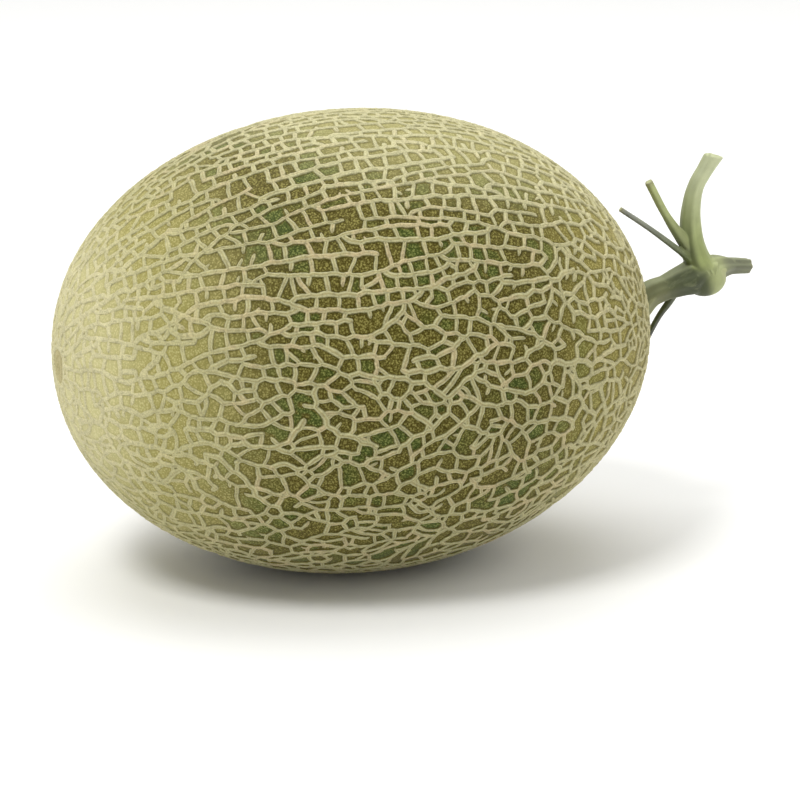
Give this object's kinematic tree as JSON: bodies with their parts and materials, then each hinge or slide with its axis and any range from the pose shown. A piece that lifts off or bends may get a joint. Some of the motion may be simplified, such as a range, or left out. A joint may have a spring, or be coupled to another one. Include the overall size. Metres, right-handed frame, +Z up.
{
  "type": "netted hami melon",
  "caption": "Whole oval netted melon lying on its side, with its stalk and a T-shaped piece of cut vine.",
  "frame": {"origin": "middle of the small flat spot on which the melon rests", "axes": "+X from the blossom end to the stem end, +Z up"},
  "size_m": [0.2605, 0.1622, 0.1602],
  "materials": {
    "melon_rind": "satin",
    "green_vine": "satin"
  },
  "bodies": {
    "root": {"fruit": "melon_rind", "stem": "green_vine"}
  },
  "joints": []
}
